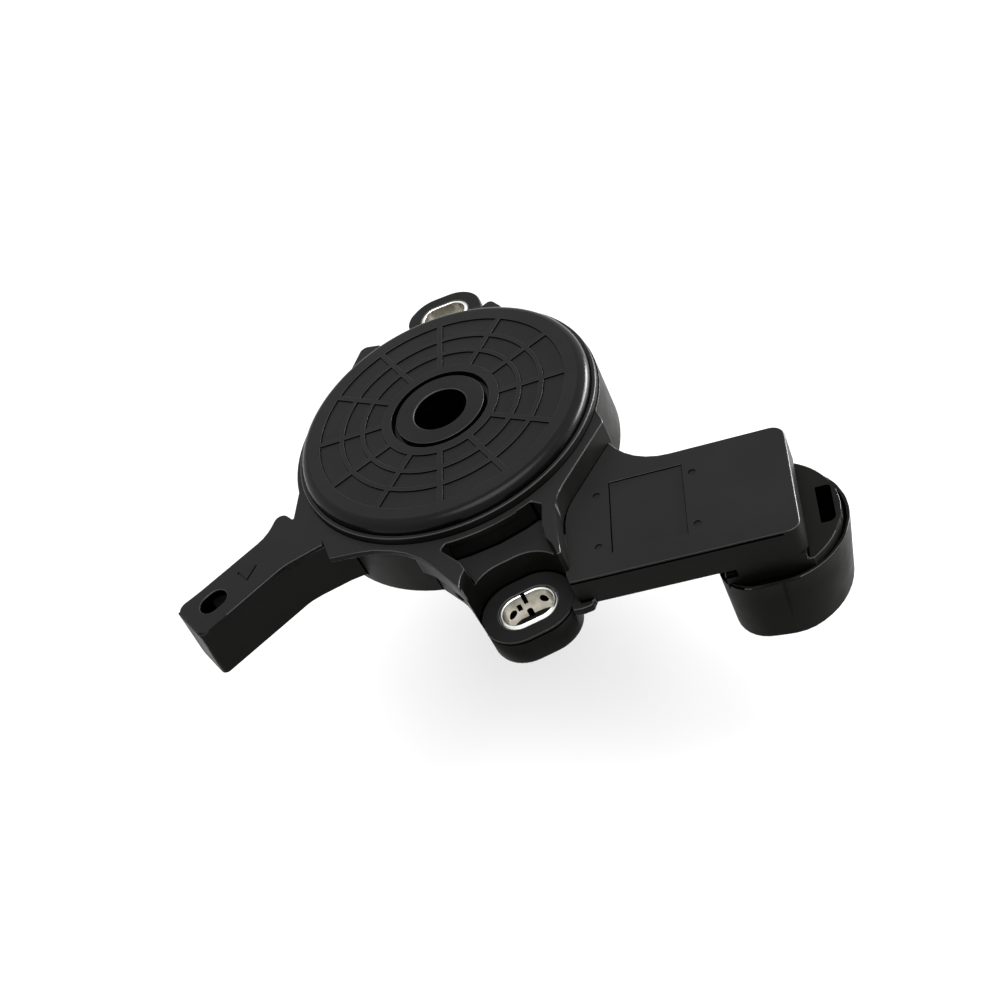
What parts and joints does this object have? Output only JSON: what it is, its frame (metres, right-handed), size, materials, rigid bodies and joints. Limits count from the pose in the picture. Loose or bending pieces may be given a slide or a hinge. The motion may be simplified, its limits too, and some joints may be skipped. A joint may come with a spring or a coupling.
{
  "type": "transmission position sensor",
  "caption": "Flat drum-shaped gearbox position sensor with a ribbed round cover, a central rotor, slotted ears, a slotted arm and a side arm box with a downward connector.",
  "frame": {"origin": "axis of the gearbox's manual shaft, at the height of the mounting plane on which both ears bear", "axes": "+Z along the shaft axis out of the ribbed cover, -Y from the axis to the front ear's slot, the arm box lies towards +X and -Y"},
  "size_m": [0.1369, 0.1334, 0.038],
  "materials": {
    "housing_plastic": "black glass-filled moulding, satin",
    "cover_plastic": "black moulding, fine matt face with a glossier rounded rim",
    "rotor_plastic": "black moulding, satin",
    "magnet_bonded": "dark grey plastic-bonded magnet",
    "seal_rubber": "black rubber",
    "washer_plastic": "pale low-friction washer",
    "spring_steel": "cold-rolled spring steel",
    "bushing_steel": "rolled sheet steel, dull plated",
    "board_laminate": "green solder mask",
    "chip_plastic": "black moulded package",
    "capacitor_ceramic": "tan ceramic",
    "lid_plastic": "black moulding, satin",
    "terminal_tinned": "tinned copper alloy"
  },
  "bodies": {
    "housing_body": {"housing": "housing_plastic", "top_cover": "cover_plastic", "upper_seal": "seal_rubber", "lower_seal": "seal_rubber", "thrust_washer": "washer_plastic", "wave_washer": "spring_steel", "front_bushing": "bushing_steel", "rear_bushing": "bushing_steel", "circuit_board": "board_laminate", "hall_sensor_1": "chip_plastic", "hall_sensor_2": "chip_plastic", "hall_sensor_3": "chip_plastic", "hall_sensor_4": "chip_plastic", "signal_chip": "chip_plastic", "capacitors": "capacitor_ceramic", "box_lid": "lid_plastic", "terminal_1": "terminal_tinned", "terminal_2": "terminal_tinned", "terminal_3": "terminal_tinned", "terminal_4": "terminal_tinned", "terminal_5": "terminal_tinned", "terminal_6": "terminal_tinned", "terminal_7": "terminal_tinned", "terminal_8": "terminal_tinned", "terminal_9": "terminal_tinned", "terminal_10": "terminal_tinned"},
    "rotor_body": {"rotor": "rotor_plastic", "magnet_1": "magnet_bonded", "magnet_2": "magnet_bonded", "magnet_3": "magnet_bonded"}
  },
  "joints": [
    {"name": "rotor_turn", "type": "hinge", "parent": "housing_body", "child": "rotor_body", "pos_m": [0, 0, 0], "axis": [0, 0, 1], "range_deg": [-24, 24]}
  ]
}
